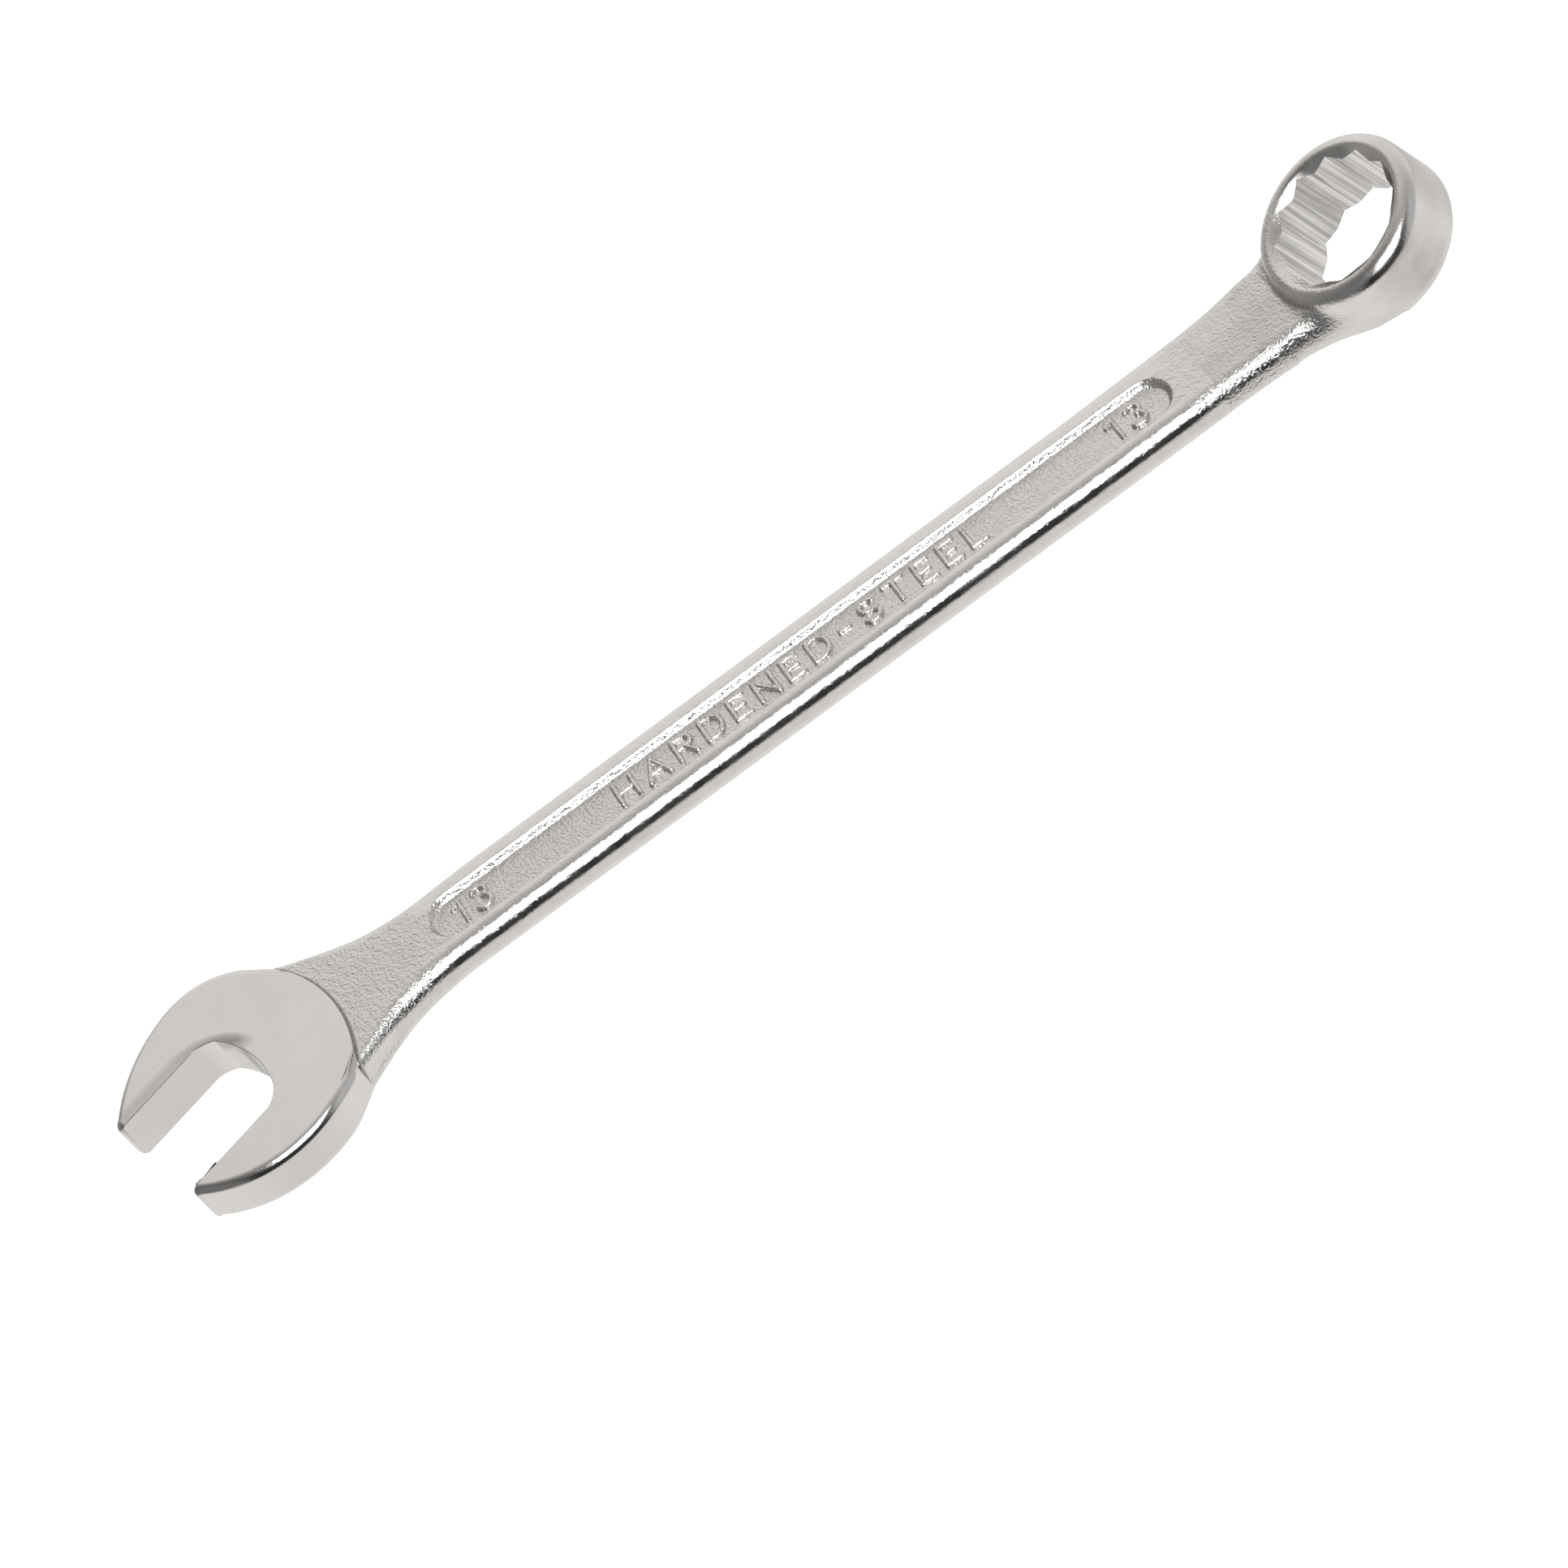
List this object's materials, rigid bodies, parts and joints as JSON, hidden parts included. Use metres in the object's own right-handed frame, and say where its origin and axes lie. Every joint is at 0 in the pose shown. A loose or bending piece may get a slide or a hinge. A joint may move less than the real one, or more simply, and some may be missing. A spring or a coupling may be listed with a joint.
{
  "type": "combination wrench",
  "caption": "Chrome-plated combination wrench with an angled open jaw, a recessed I-section shank and an offset bi-hex ring end.",
  "frame": {"origin": "centre of the nut held in the open jaw, at half the head's thickness", "axes": "+X along the shank to the ring end, +Y across the shank towards the longer jaw, +Z out of the lettered face"},
  "size_m": [0.1666, 0.0272, 0.0141],
  "materials": {
    "satin_chrome": "smooth satin plating",
    "forged_chrome": "bright plating over fine forged grain"
  },
  "bodies": {
    "root": {"open_end_head": "satin_chrome", "shank": "forged_chrome", "ring_head": "satin_chrome", "size_mark_open_end": "forged_chrome", "size_mark_ring_end": "forged_chrome", "raised_lettering": "forged_chrome"}
  },
  "joints": []
}
